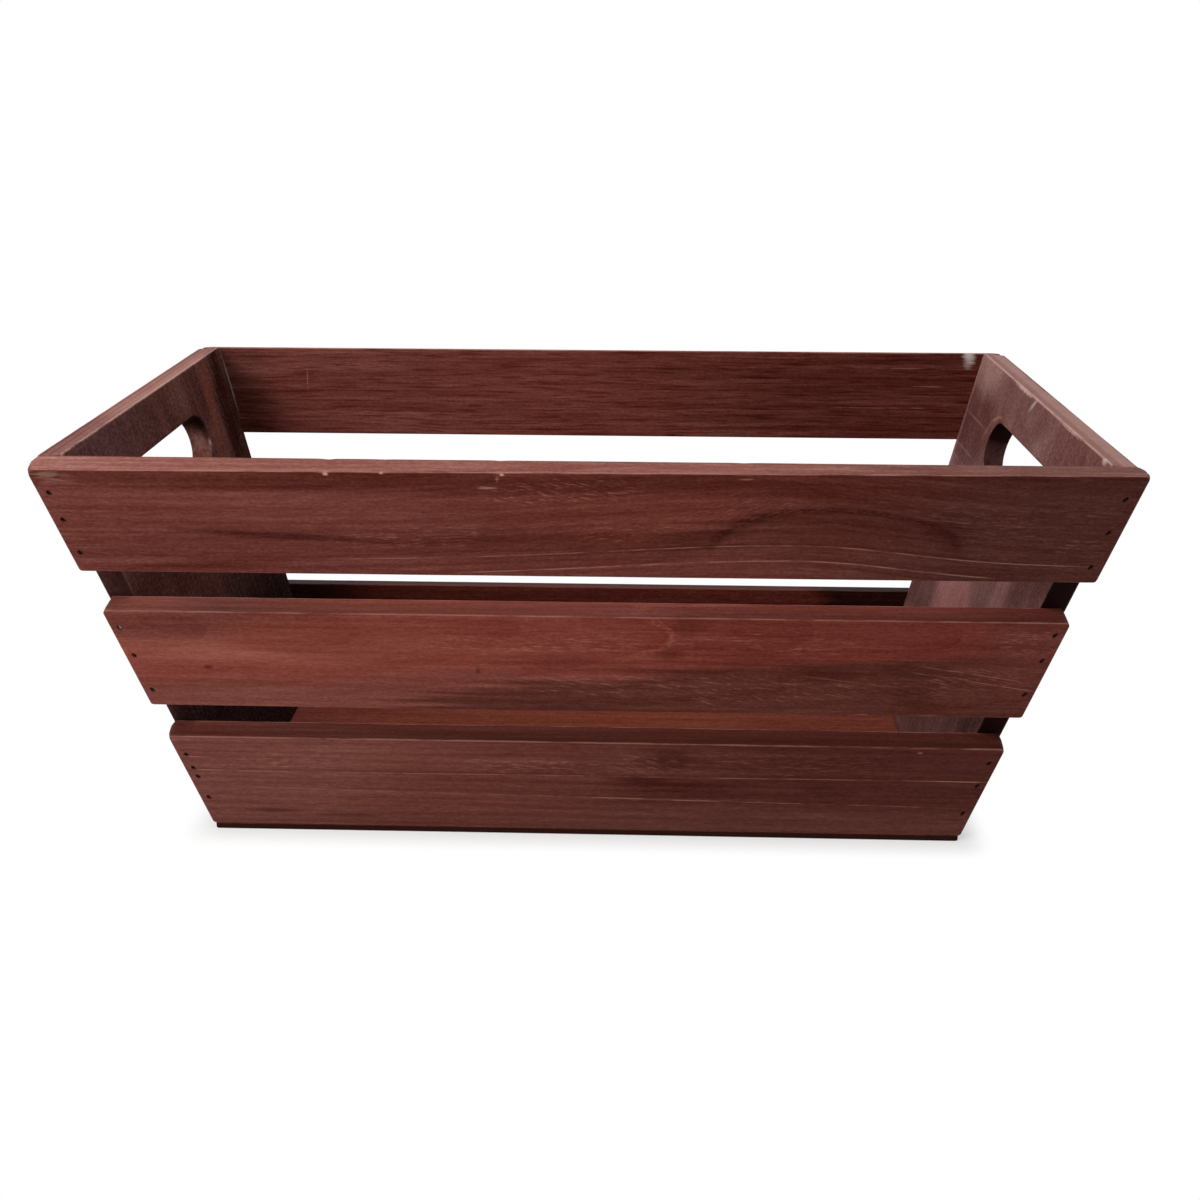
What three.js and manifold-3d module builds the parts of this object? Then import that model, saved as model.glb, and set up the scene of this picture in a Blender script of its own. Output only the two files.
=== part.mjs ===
// Slatted wooden crate that splays out on all four sides, with a hand slot in each end.
// Millimetres, +Z up. The origin is the middle of the base's underside, +X runs along the
// crate to its right end, and -Y is its front.

import * as THREE from 'three';
import { mergeVertices } from 'three/addons/utils/BufferGeometryUtils.js';
import Module from 'manifold-3d';

const wasm = await Module();
wasm.setup();

// Overall sizes, outside, at the top outer edges of the slats
const TOP_LENGTH = 457;
const TOP_WIDTH = 251;
const SIDE_LEAN = THREE.MathUtils.degToRad(10);
const END_FLARE = THREE.MathUtils.degToRad(14.5);

// Slats, three on each long side
const SLAT_THICKNESS = 12.5;
const TOP_SLAT_WIDTH = 48.5;
const MIDDLE_SLAT_WIDTH = 51;
const BOTTOM_SLAT_WIDTH = 52.5;
const UPPER_GAP = 20.5;
const LOWER_GAP = 18;
const SLAT_EASE = 0.8; // chamfer along the slats' edges

// End panels and their hand slots
const END_THICKNESS = 11.5;
const END_STAND = 0.9; // the panels' outer faces stand this far past the slats' ends
const RIM_TILT = THREE.MathUtils.degToRad(6); // the panels' tops fall outward by this
const SLOT_LENGTH = 102;
const SLOT_HEIGHT = 25;
const SLOT_DROP = 25.2; // from the panel's top edge to the slot
const SLOT_ROUND = 0.8; // rounding of the slot's edges

// Base panel
const BASE_THICKNESS = 3;
const BASE_INSET = 0.5; // inside the lower edges of the slats and the ends

// Nails, cut from flat wire, with a head as thick as the wire
const NAIL_THICKNESS = 1.2;
const NAIL_WIDTH = 1.3;
const NAIL_HEAD_WIDTH = 2.4;
const NAIL_HEAD_DEPTH = 1;
const NAIL_POINT = 2.5; // length of the tapered point
const NAIL_TIP = 0.3; // width left at the very tip
const SLAT_NAIL_LENGTH = 28;
const BASE_NAIL_LENGTH = 16;
const SLAT_NAIL_SET = 0.8; // how far the heads are sunk below the wood
const BASE_NAIL_SET = 0.4;

// Nail rows at the slats' ends, as shares of the slat's width down from its upper edge
const PLAIN_ROWS = [0.2, 0.48, 0.82];
const FRONT_ROWS = {
  top: { left: [0.24, 0.5, 0.83], right: [0.19, 0.51, 0.85] },
  middle: { left: [0.18, 0.47, 0.84], right: [0.13, 0.39, 0.75] },
  bottom: { left: [0.21, 0.36, 0.46, 0.7], right: [0.16, 0.42, 0.74] },
};
const BASE_NAILS_PER_SIDE = 4;
const BASE_NAILS_PER_END = 3;
const BASE_NAIL_MARGIN = 35; // from the inner corners to the first nail

// Clearances
const JOINT_GAP = 0.3; // between boards that meet
const NAIL_GAP = 0.3; // round a nail in its hole

// Colours
const SLAT_COLOUR = 0x5f322c;
const END_COLOUR = 0x58302c;
const BASE_COLOUR = 0x6b3729;
const NAIL_COLOUR = 0x2b2423;

// Values that follow from the sizes above
const SLATS = [
  { row: 'top', width: TOP_SLAT_WIDTH, drop: 0 },
  { row: 'middle', width: MIDDLE_SLAT_WIDTH, drop: TOP_SLAT_WIDTH + UPPER_GAP },
  {
    row: 'bottom',
    width: BOTTOM_SLAT_WIDTH,
    drop: TOP_SLAT_WIDTH + UPPER_GAP + MIDDLE_SLAT_WIDTH + LOWER_GAP,
  },
];
const faceHeight = SLATS[2].drop + SLATS[2].width;
const seatHeight = BASE_THICKNESS + JOINT_GAP;
const rimHeight = seatHeight + faceHeight * Math.cos(SIDE_LEAN);
const panelTop = rimHeight + SLAT_THICKNESS * Math.sin(SIDE_LEAN); // level with the slats' inner edges
const blockSize = 2 * (TOP_LENGTH + TOP_WIDTH); // trimming blocks are larger than any board

// Outer half length and half width of the crate at a height, and the middle of its boards there
const halfLength = (z) => TOP_LENGTH / 2 + (z - rimHeight) * Math.tan(END_FLARE);
const halfWidth = (z) => TOP_WIDTH / 2 + (z - rimHeight) * Math.tan(SIDE_LEAN);
const endMiddle = (z) => halfLength(z) + END_STAND - END_THICKNESS / (2 * Math.cos(END_FLARE));
const slatMiddle = (z) => halfWidth(z) - SLAT_THICKNESS / (2 * Math.cos(SIDE_LEAN));

const crate = new THREE.Group();

// A frame on one face of the crate: x to the right as seen from outside, y up the face and z
// outward. The face's upper edge is the x axis. A tilt of a quarter turn makes it face down.
function faceFrame(turn, tilt, reach, height) {
  const turned = new THREE.Group();
  turned.rotation.z = turn;
  const face = new THREE.Group();
  face.position.set(0, -reach, height);
  face.rotation.x = Math.PI / 2 + tilt;
  turned.add(face);
  crate.add(turned);
  face.updateWorldMatrix(true, false);
  return face;
}

const endReach = TOP_LENGTH / 2 + END_STAND;
const rimTilt = RIM_TILT - Math.PI / 2;
const faces = {
  front: faceFrame(0, SIDE_LEAN, TOP_WIDTH / 2, rimHeight),
  right: faceFrame(Math.PI / 2, END_FLARE, endReach, rimHeight),
  back: faceFrame(Math.PI, SIDE_LEAN, TOP_WIDTH / 2, rimHeight),
  left: faceFrame(-Math.PI / 2, END_FLARE, endReach, rimHeight),
  under: faceFrame(0, Math.PI / 2, 0, 0),
};
const rims = {
  left: faceFrame(-Math.PI / 2, rimTilt, endMiddle(panelTop), panelTop),
  right: faceFrame(Math.PI / 2, rimTilt, endMiddle(panelTop), panelTop),
};

// Solids for cutting
function toSolid(geometry) {
  const bare = geometry.clone();
  bare.deleteAttribute('normal');
  bare.deleteAttribute('uv');
  const merged = mergeVertices(bare);
  return new wasm.Manifold(new wasm.Mesh({
    numProp: 3,
    vertProperties: new Float32Array(merged.attributes.position.array),
    triVerts: new Uint32Array(merged.index.array),
  }));
}

function toGeometry(solid) {
  const mesh = solid.getMesh();
  const geometry = new THREE.BufferGeometry();
  geometry.setAttribute('position', new THREE.BufferAttribute(mesh.vertProperties, 3));
  geometry.setIndex(new THREE.BufferAttribute(mesh.triVerts, 1));
  geometry.computeVertexNormals();
  return geometry;
}

// Cuts a board, given in its own frame, by shapes that are given in theirs
function cut(geometry, frame, cutters) {
  const toBoard = frame.matrixWorld.clone().invert();
  let solid = toSolid(geometry);
  for (const cutter of cutters) {
    const place = toBoard.clone().multiply(cutter.frame.matrixWorld);
    solid = solid.subtract(toSolid(cutter.geometry.clone().applyMatrix4(place)));
  }
  return toGeometry(solid);
}

// A block that takes away everything outside a depth below one face
function blockOutside(frame, depth) {
  const geometry = new THREE.BoxGeometry(blockSize, blockSize, blockSize);
  geometry.translate(0, 0, blockSize / 2 - depth);
  return { geometry, frame };
}

function addPiece(frame, name, geometry, color, roughness, metalness) {
  const material = new THREE.MeshStandardMaterial({ color, roughness, metalness });
  const mesh = new THREE.Mesh(geometry, material);
  mesh.name = name;
  frame.add(mesh);
}

function addBoard(frame, name, geometry, color) {
  addPiece(frame, name, geometry, color, 0.55, 0);
}

// Side view of a nail, driven down from a face at y = 0, or of its hole, which is wider all round
function nailGeometry(length, set, gap, top) {
  const head = NAIL_HEAD_WIDTH / 2 + gap;
  const wire = NAIL_WIDTH / 2 + gap;
  const tip = NAIL_TIP / 2 + gap;
  const neck = -set - NAIL_HEAD_DEPTH - gap;
  const end = -set - length - gap;
  const right = [
    [tip, end],
    [wire, end + NAIL_POINT],
    [wire, neck - (head - wire)],
    [head, neck],
    [head, top],
  ];
  const left = right.map(([x, y]) => [-x, y]).reverse();
  const outline = [...right, ...left].map(([x, y]) => new THREE.Vector2(x, y));
  const depth = NAIL_THICKNESS + 2 * gap;
  const geometry = new THREE.ExtrudeGeometry(new THREE.Shape(outline), { depth, bevelEnabled: false });
  return geometry.translate(0, 0, -depth / 2);
}

// Nails: each one has a frame on the face that it is driven into, with its head along x before
// it is turned by spin
const nails = [];

function placeNail(name, face, x, y, spin, length, set) {
  const frame = new THREE.Group();
  frame.position.set(x, y, 0);
  frame.rotation.set(Math.PI / 2, 0, spin, 'ZYX');
  face.add(frame);
  frame.updateWorldMatrix(true, false);
  nails.push({ name, frame, length, set });
}

// Nails through the slats' ends, over the middle of the end panels, heads along the slats' ends
const slatNailDepth = (SLAT_THICKNESS + SLAT_NAIL_SET + SLAT_NAIL_LENGTH) / 2;
const endSlope = Math.atan(Math.tan(END_FLARE) * Math.cos(SIDE_LEAN));
for (const side of ['front', 'back']) {
  for (const slat of SLATS) {
    for (const end of ['left', 'right']) {
      const towards = (end === 'right') === (side === 'front') ? 1 : -1;
      const rows = side === 'front' ? FRONT_ROWS[slat.row][end] : PLAIN_ROWS;
      rows.forEach((share, i) => {
        const y = -slat.drop - share * slat.width;
        const z = rimHeight + y * Math.cos(SIDE_LEAN) + slatNailDepth * Math.sin(SIDE_LEAN);
        const spin = Math.PI / 2 - towards * endSlope;
        const name = `nail_${side}_${slat.row}_${end}_${i + 1}`;
        placeNail(name, faces[side], towards * endMiddle(z), y, spin, SLAT_NAIL_LENGTH, SLAT_NAIL_SET);
      });
    }
  }
}

// Nails up through the base, along the middle of the boards that stand on it
const spread = (count, half) => Array.from({ length: count }, (_, i) => half * (2 * i / (count - 1) - 1));
const holdHeight = (BASE_THICKNESS + BASE_NAIL_SET + BASE_NAIL_LENGTH) / 2;
const innerHalfLength = 2 * endMiddle(seatHeight) - halfLength(seatHeight);
const innerHalfWidth = 2 * slatMiddle(seatHeight) - halfWidth(seatHeight);
for (const [side, y] of [['front', 1], ['back', -1]]) {
  spread(BASE_NAILS_PER_SIDE, innerHalfLength - BASE_NAIL_MARGIN).forEach((x, i) => {
    const name = `nail_base_${side}_${i + 1}`;
    placeNail(name, faces.under, x, y * slatMiddle(holdHeight), 0, BASE_NAIL_LENGTH, BASE_NAIL_SET);
  });
}
for (const [end, x] of [['left', -1], ['right', 1]]) {
  spread(BASE_NAILS_PER_END, innerHalfWidth - BASE_NAIL_MARGIN).forEach((y, i) => {
    const name = `nail_base_${end}_${i + 1}`;
    const spin = Math.PI / 2;
    placeNail(name, faces.under, x * endMiddle(holdHeight), y, spin, BASE_NAIL_LENGTH, BASE_NAIL_SET);
  });
}

const nailHoles = nails.map(({ frame, length, set }) => ({
  geometry: nailGeometry(length, set, NAIL_GAP, NAIL_HEAD_DEPTH),
  frame,
}));

// Slats: square-edged boards with slanted ends. The lowest is cut level where it meets the base.
function slatGeometry(slat) {
  const isLowest = slat.row === 'bottom';
  const spare = isLowest ? SLAT_THICKNESS * Math.tan(SIDE_LEAN) + SLAT_EASE : 0;
  const upper = -slat.drop;
  const lower = upper - slat.width - spare;
  const half = (y) => halfLength(rimHeight + y * Math.cos(SIDE_LEAN));
  const outline = new THREE.Shape([
    new THREE.Vector2(-half(lower), lower),
    new THREE.Vector2(half(lower), lower),
    new THREE.Vector2(half(upper), upper),
    new THREE.Vector2(-half(upper), upper),
  ]);
  const geometry = new THREE.ExtrudeGeometry(outline, {
    depth: SLAT_THICKNESS - 2 * SLAT_EASE,
    bevelThickness: SLAT_EASE,
    bevelSize: SLAT_EASE,
    bevelOffset: -SLAT_EASE,
    bevelSegments: 1,
  });
  return geometry.translate(0, 0, SLAT_EASE - SLAT_THICKNESS);
}

const belowSeat = blockOutside(faces.under, seatHeight);
for (const side of ['front', 'back']) {
  for (const slat of SLATS) {
    const geometry = cut(slatGeometry(slat), faces[side], [belowSeat, ...nailHoles]);
    addBoard(faces[side], `${side}_slat_${slat.row}`, geometry, SLAT_COLOUR);
  }
}

// End panels: a board with a round-ended slot, trimmed to the slats and the base, sloping on top
function endBlank() {
  const topY = (panelTop - rimHeight) / Math.cos(END_FLARE);
  const slotY = topY - SLOT_DROP - SLOT_HEIGHT / 2;
  const radius = SLOT_HEIGHT / 2;
  const centreX = SLOT_LENGTH / 2 - radius;
  const outline = new THREE.Shape();
  outline.moveTo(-TOP_WIDTH / 2, -2 * rimHeight);
  outline.lineTo(TOP_WIDTH / 2, -2 * rimHeight);
  outline.lineTo(TOP_WIDTH / 2, rimHeight);
  outline.lineTo(-TOP_WIDTH / 2, rimHeight);
  const slot = new THREE.Path();
  slot.absarc(centreX, slotY, radius, -Math.PI / 2, Math.PI / 2);
  slot.absarc(-centreX, slotY, radius, Math.PI / 2, 3 * Math.PI / 2);
  outline.holes.push(slot);
  const geometry = new THREE.ExtrudeGeometry(outline, {
    depth: END_THICKNESS - 2 * SLOT_ROUND,
    bevelThickness: SLOT_ROUND,
    bevelSize: SLOT_ROUND,
    bevelOffset: -SLOT_ROUND,
    bevelSegments: 2,
    curveSegments: 10,
  });
  return geometry.translate(0, 0, SLOT_ROUND - END_THICKNESS);
}

const behindSlats = ['front', 'back'].map((side) => blockOutside(faces[side], SLAT_THICKNESS + JOINT_GAP));
for (const end of ['left', 'right']) {
  const aboveRim = blockOutside(rims[end], 0);
  const geometry = cut(endBlank(), faces[end], [belowSeat, aboveRim, ...behindSlats, ...nailHoles]);
  addBoard(faces[end], `end_panel_${end}`, geometry, END_COLOUR);
}

// Base panel, under the ends and the lowest slats
const baseGeometry = new THREE.BoxGeometry(
  2 * (halfLength(seatHeight) - BASE_INSET),
  2 * (halfWidth(seatHeight) - BASE_INSET),
  BASE_THICKNESS,
);
baseGeometry.translate(0, 0, -BASE_THICKNESS / 2);
addBoard(faces.under, 'base_panel', cut(baseGeometry, faces.under, nailHoles), BASE_COLOUR);

for (const { name, frame, length, set } of nails) {
  addPiece(frame, name, nailGeometry(length, set, 0, -set), NAIL_COLOUR, 0.5, 0.8);
}

export default crate;
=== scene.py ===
import math
from dataclasses import dataclass

import bpy
from mathutils import Matrix, Vector, noise
from mathutils.geometry import delaunay_2d_cdt


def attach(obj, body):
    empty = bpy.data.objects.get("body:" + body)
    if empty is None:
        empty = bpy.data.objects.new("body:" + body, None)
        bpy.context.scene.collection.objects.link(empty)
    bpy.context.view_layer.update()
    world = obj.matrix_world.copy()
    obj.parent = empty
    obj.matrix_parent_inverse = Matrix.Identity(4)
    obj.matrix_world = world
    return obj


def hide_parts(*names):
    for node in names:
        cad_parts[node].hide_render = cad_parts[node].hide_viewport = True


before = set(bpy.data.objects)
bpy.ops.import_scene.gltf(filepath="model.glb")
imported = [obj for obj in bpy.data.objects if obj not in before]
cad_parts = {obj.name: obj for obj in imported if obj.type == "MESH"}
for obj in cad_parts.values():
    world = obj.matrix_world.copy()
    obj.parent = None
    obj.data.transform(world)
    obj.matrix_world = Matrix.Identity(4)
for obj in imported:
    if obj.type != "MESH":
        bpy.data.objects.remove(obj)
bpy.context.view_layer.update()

# Sizes of the crate in metres, the same as the solids have
MM = 0.001
TOP_LENGTH = 457 * MM
TOP_WIDTH = 251 * MM
SIDE_LEAN = math.radians(10)
END_FLARE = math.radians(14.5)
SLAT_THICKNESS = 12.5 * MM
SLAT_WIDTHS = {"top": 48.5 * MM, "middle": 51 * MM, "bottom": 52.5 * MM}
UPPER_GAP = 20.5 * MM
LOWER_GAP = 18 * MM
END_THICKNESS = 11.5 * MM
END_STAND = 0.9 * MM
RIM_TILT = math.radians(6)
SLOT_LENGTH = 102 * MM
SLOT_HEIGHT = 25 * MM
SLOT_DROP = 25.2 * MM
SLOT_ROUND = 0.8 * MM
BASE_THICKNESS = 3 * MM
BASE_INSET = 0.5 * MM
JOINT_GAP = 0.3 * MM

# Finish of the boards' edges
SLAT_EASE = 0.45 * MM
END_EASE = 0.7 * MM
BASE_EASE = 0.4 * MM
EASE_WANDER = 0.2  # share by which the rounding of an edge comes and goes
EASE_LUMP = 26 * MM  # length over which it does so
LARGEST_EASE = 0.4  # share of a board's thickness
CORNER_ROUND = 1.6 * MM
WEAR_REACH = 3 * MM  # how far from an edge the rubbed look fades out
BOW = 0.15 * MM  # boards are this much out of flat
BOW_LUMPS = (140 * MM, 60 * MM)  # lengths over which they bend, along and across
SALTS = 97  # boards bend and wear in this many different ways
SWELL_TURN = 0.8 * math.pi  # stretch of a sine wave that a swollen end follows
HOLE_LENGTH = 2.5 * MM
HOLE_WIDTH = 1.5 * MM
HOLE_EASE = 0.1 * MM
RUBBED = 1.0  # wear of an edge that hands and goods rub
SHADED_AND_DIRTY = -1.0  # wear value of a hole's wall, which gets dirt and painted shade

# Density of the meshes
EDGE_STEP = 3 * MM
BAND_STEP = 5 * MM
FACE_STEP = 11 * MM
ROUND_STEPS = 4
CORNER_STEPS = 4
WALL_SHARES = (0.1, 0.3, 0.7, 0.9)
FACE_INSETS = (1.5 * MM, 4 * MM)
GRID_INSET = FACE_INSETS[-1] * 1.5
KEPT_CLEAR = 0.9  # share of its inset that a point keeps clear of an edge
SLOT_ARC_STEPS = 14
SLOT_SIDE_STEPS = 24
SHARP_ANGLE = math.radians(50)
TOUCHING = 0.01 * MM  # points this near are in one plane, or are one
INSIDE_ONLY = 1  # keeps the triangles of a face that lie within its loops
NEAREST = 1e-8  # points of a face are at least this far apart

# Values that follow from the sizes above
SLAT_TOPS = {
    "top": 0.0,
    "middle": -(SLAT_WIDTHS["top"] + UPPER_GAP),
    "bottom": -(SLAT_WIDTHS["top"] + UPPER_GAP + SLAT_WIDTHS["middle"] + LOWER_GAP),
}
FACE_HEIGHT = SLAT_WIDTHS["bottom"] - SLAT_TOPS["bottom"]
SEAT_HEIGHT = BASE_THICKNESS + JOINT_GAP
RIM_HEIGHT = SEAT_HEIGHT + FACE_HEIGHT * math.cos(SIDE_LEAN)
PANEL_TOP = RIM_HEIGHT + SLAT_THICKNESS * math.sin(SIDE_LEAN)
END_REACH = TOP_LENGTH / 2 + END_STAND


def half_length(height):
    return TOP_LENGTH / 2 + (height - RIM_HEIGHT) * math.tan(END_FLARE)


def half_width(height):
    return TOP_WIDTH / 2 + (height - RIM_HEIGHT) * math.tan(SIDE_LEAN)


# Frames on the faces of the crate: x to the right as seen from outside, y up the face, z outward
def face_matrix(turn, tilt, reach, height):
    place = Matrix.Translation((0, -reach, height)) @ Matrix.Rotation(math.pi / 2 + tilt, 4, "X")
    return Matrix.Rotation(turn, 4, "Z") @ place


FACES = {
    "front": face_matrix(0, SIDE_LEAN, TOP_WIDTH / 2, RIM_HEIGHT),
    "right": face_matrix(math.pi / 2, END_FLARE, END_REACH, RIM_HEIGHT),
    "back": face_matrix(math.pi, SIDE_LEAN, TOP_WIDTH / 2, RIM_HEIGHT),
    "left": face_matrix(-math.pi / 2, END_FLARE, END_REACH, RIM_HEIGHT),
    "under": face_matrix(0, math.pi / 2, 0, 0),
}


# Outlines: the four corners of a board, anticlockwise from the lower left, at a depth under its face
def slat_outline(row):
    upper = SLAT_TOPS[row]

    def corners(depth):
        spare = depth * math.tan(SIDE_LEAN) if row == "bottom" else 0
        lower = upper - SLAT_WIDTHS[row] - spare
        low_half = half_length(RIM_HEIGHT + lower * math.cos(SIDE_LEAN))
        high_half = half_length(RIM_HEIGHT + upper * math.cos(SIDE_LEAN))
        sides = [(-low_half, lower), (low_half, lower), (high_half, upper), (-high_half, upper)]
        return [Vector(side) for side in sides]

    return corners


def panel_outline(depth):
    middle = END_THICKNESS / 2
    low = (SEAT_HEIGHT - RIM_HEIGHT - depth * math.sin(END_FLARE)) / math.cos(END_FLARE)
    high = (PANEL_TOP - RIM_HEIGHT - middle * math.sin(END_FLARE)) / math.cos(END_FLARE)
    high -= (depth - middle) * math.tan(END_FLARE - RIM_TILT)
    sides = []
    for y, order in ((low, (-1, 1)), (high, (1, -1))):
        height = RIM_HEIGHT + y * math.cos(END_FLARE) + depth * math.sin(END_FLARE)
        half = half_width(height) - (SLAT_THICKNESS + JOINT_GAP) / math.cos(SIDE_LEAN)
        sides += [Vector((sign * half, y)) for sign in order]
    return sides


def base_outline(depth):
    x = half_length(SEAT_HEIGHT) - BASE_INSET
    y = half_width(SEAT_HEIGHT) - BASE_INSET
    return [Vector(corner) for corner in ((-x, -y), (x, -y), (x, y), (-x, y))]


# Loops: points round a board or a hole, each with the direction that leads into the wood
def arc(centre, radius, start, sweep, steps, inward):
    points = []
    for i in range(steps + 1):
        angle = start + sweep * i / steps
        direction = Vector((math.cos(angle), math.sin(angle)))
        points.append((centre + direction * radius, direction * inward))
    return points


def board_loop(corners, steps, rounds):
    count = len(corners)
    normals = []
    for i in range(count):
        along = (corners[(i + 1) % count] - corners[i]).normalized()
        normals.append(Vector((-along.y, along.x)))
    centres = []
    for i in range(count):
        before, after = normals[i - 1], normals[i]
        centres.append(corners[i] + (before + after) * rounds[i] / (1 + before.dot(after)))
    points = []
    for i in range(count):
        before, after = normals[i - 1], normals[i]
        start = math.atan2(-before.y, -before.x)
        sweep = math.acos(before.dot(after))
        points += arc(centres[i], rounds[i], start, sweep, CORNER_STEPS, -1)
        first = centres[i] - after * rounds[i]
        last = centres[(i + 1) % count] - after * rounds[(i + 1) % count]
        for k in range(1, steps[i]):
            points.append((first.lerp(last, k / steps[i]), after))
    return points


@dataclass
class Opening:
    """A round-ended hole through a board: a nail hole or a hand slot."""
    centre: Vector
    length: float
    width: float
    spin: float
    ease: float
    wear: float = SHADED_AND_DIRTY  # look of its edge
    insets: tuple = (0.5 * MM,)  # where the face round it has rings of points
    arc_steps: int = 5
    side_steps: int = 1

    def axis(self):
        return Vector((math.cos(self.spin), math.sin(self.spin)))

    def loop(self, grow=0.0):
        radius = self.width / 2 + grow
        reach = self.axis() * (self.length - self.width) / 2
        ends = []
        for sign in (1, -1):
            start = self.spin - sign * math.pi / 2
            ends.append(arc(self.centre + reach * sign, radius, start, math.pi, self.arc_steps, 1))
        points = []
        for end, following in (ends, ends[::-1]):
            points += end
            for k in range(1, self.side_steps):
                point = end[-1][0].lerp(following[0][0], k / self.side_steps)
                points.append((point, end[-1][1]))
        return points

    def distance(self, point):
        """From a point on the face to where the rounding of the edge starts."""
        half = (self.length - self.width) / 2
        offset = point - self.centre
        along = max(-half, min(half, offset.dot(self.axis())))
        return (offset - self.axis() * along).length - self.width / 2 - self.ease


@dataclass
class Chip:
    """A bruise on an edge, in millimetres: its place, its length and how much it rounds the edge."""
    x: float
    y: float
    reach: float
    depth: float


@dataclass
class Board:
    """One board: the node it replaces, the face it lies on, its outline there, and its finish."""
    node: str
    face: str
    slot: str
    outline: object
    thickness: float
    ease: float
    openings: tuple = ()
    chips: tuple = ()
    rounds: tuple = (CORNER_ROUND,) * 4
    warps: tuple = ((0, 0),) * 4  # how far each corner of the outer face is out of place
    swells: tuple = (0, 0)  # how far its ends stand out behind the outer face

    def corners(self, depth):
        share = depth / self.thickness
        rise = math.sin(SWELL_TURN * share)
        moved = []
        for corner, warp in zip(self.outline(depth), self.warps):
            outward = -self.swells[0] if corner.x < 0 else self.swells[1]
            moved.append(corner + Vector(warp) * (1 - share) + Vector((outward * rise, 0)))
        return moved


# Meshes of the boards
def edge_ease(board, point, salt):
    """Rounding of an edge at a point: it wanders, and grows where the edge is chipped."""
    spot = Vector((point.x / EASE_LUMP, point.y / EASE_LUMP, salt))
    ease = board.ease * (1 + EASE_WANDER * noise.noise(spot))
    for chip in board.chips:
        away = (point - Vector((chip.x * MM, chip.y * MM))).length / (chip.reach * MM)
        ease += chip.depth * MM * math.exp(-away * away)
    return min(ease, board.thickness * LARGEST_EASE)


def out_of_flat(point, salt):
    spot = Vector((point.x / BOW_LUMPS[0], point.y / BOW_LUMPS[1], salt))
    return BOW * noise.noise(spot)


def edge_rings(loop_at, eases, thickness, wears, front):
    """Rings over one rounded edge, from its face to the wall, each with its share of the wear."""
    built = []
    for k in range(ROUND_STEPS + 1):
        angle = math.pi / 2 * k / ROUND_STEPS
        wear = wears[0] + (wears[1] - wears[0]) * k / ROUND_STEPS
        ring = []
        for i, ease in enumerate(eases):
            rounded = ease * (1 - math.cos(angle))
            depth = rounded if front else thickness - rounded
            point, inward = loop_at(depth)[i]
            ring.append((point + inward * ease * (1 - math.sin(angle)), depth, wear))
        built.append(ring)
    return built if front else built[::-1]


def loop_rings(loop_at, eases, thickness, wears, wall_wear):
    """Rings from the front face over the rounded edge, down the wall and over the back edge."""
    walls = []
    for share in WALL_SHARES:
        ring = []
        for i, ease in enumerate(eases):
            wall = thickness - 2 * ease
            depth = ease + wall * share
            ring.append((loop_at(depth)[i][0], depth, wall_wear(wall * min(share, 1 - share))))
        walls.append(ring)
    fronts = edge_rings(loop_at, eases, thickness, wears, True)
    backs = edge_rings(loop_at, eases, thickness, wears, False)
    return fronts + walls + backs


def opening_rings(opening, thickness):
    """The same through a hole, whose loop has one shape all the way."""
    loop = opening.loop()
    eases = [opening.ease] * len(loop)
    wears = (opening.wear, SHADED_AND_DIRTY)
    return loop_rings(lambda depth: loop, eases, thickness, wears, lambda distance: SHADED_AND_DIRTY)


def faded_wear(distance):
    """How rubbed the wood is at a distance from an edge."""
    return max(0.0, 1 - distance / WEAR_REACH)


class Mesh:
    """Points and faces of one board, in the frame of its face."""

    def __init__(self):
        self.points = []
        self.wear = []
        self.faces = []

    def add(self, point, depth, wear):
        self.points.append(Vector((point.x, point.y, -depth)))
        self.wear.append(wear)
        return len(self.points) - 1

    def add_rings(self, rings, is_hole):
        made = [[self.add(*corner) for corner in ring] for ring in rings]
        for upper, lower in zip(made, made[1:]):
            for i in range(len(upper)):
                k = (i + 1) % len(upper)
                face = (upper[i], lower[i], lower[k], upper[k])
                self.faces.append(face[::-1] if is_hole else face)
        return made[0], made[-1]

    def cap(self, loops, extra, depth, openings):
        """Fills one face of the board between its loops, by way of extra points inside."""
        ids = []
        edges = []
        for loop in loops:
            start = len(ids)
            edges += [(start + i, start + (i + 1) % len(loop)) for i in range(len(loop))]
            ids += loop
        ids += [self.add(point, depth, wear) for point, wear in extra]
        flat = [self.points[i].xy for i in ids]
        _, _, triangles, sources, _, _ = delaunay_2d_cdt(flat, edges, [], INSIDE_ONLY, NEAREST)
        for triangle in triangles:
            face = [ids[sources[corner][0]] for corner in triangle]
            middle = sum((self.points[i].xy for i in face), Vector((0, 0))) / 3
            if all(opening.distance(middle) > 0 for opening in openings):
                self.faces.append(face[::-1] if depth else face)


def distance_to_sides(point, corners):
    nearest = math.inf
    for i, corner in enumerate(corners):
        along = (corners[(i + 1) % len(corners)] - corner).normalized()
        offset = point - corner
        nearest = min(nearest, along.x * offset.y - along.y * offset.x)
    return nearest


def face_candidates(board, corners):
    """Points along the edges of a face and round its openings, and a loose grid in between."""
    candidates = []
    for inset in FACE_INSETS:
        for i, corner in enumerate(corners):
            side = corners[(i + 1) % 4] - corner
            inward = Vector((-side.y, side.x)).normalized() * (board.ease + inset)
            steps = int(side.length / BAND_STEP)
            candidates += [(corner + side * k / steps + inward, inset) for k in range(steps)]
    for opening in board.openings:
        for inset in opening.insets:
            candidates += [(point, inset) for point, _ in opening.loop(opening.ease + inset)]
    low = Vector((min(c.x for c in corners), min(c.y for c in corners)))
    size = Vector((max(c.x for c in corners), max(c.y for c in corners))) - low
    columns = int(size.x / FACE_STEP)
    rows = int(size.y / FACE_STEP)
    for i in range(1, columns):
        for k in range(1, rows):
            spot = low + Vector((size.x * i / columns, size.y * k / rows))
            candidates.append((spot, GRID_INSET))
    return candidates


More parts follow.
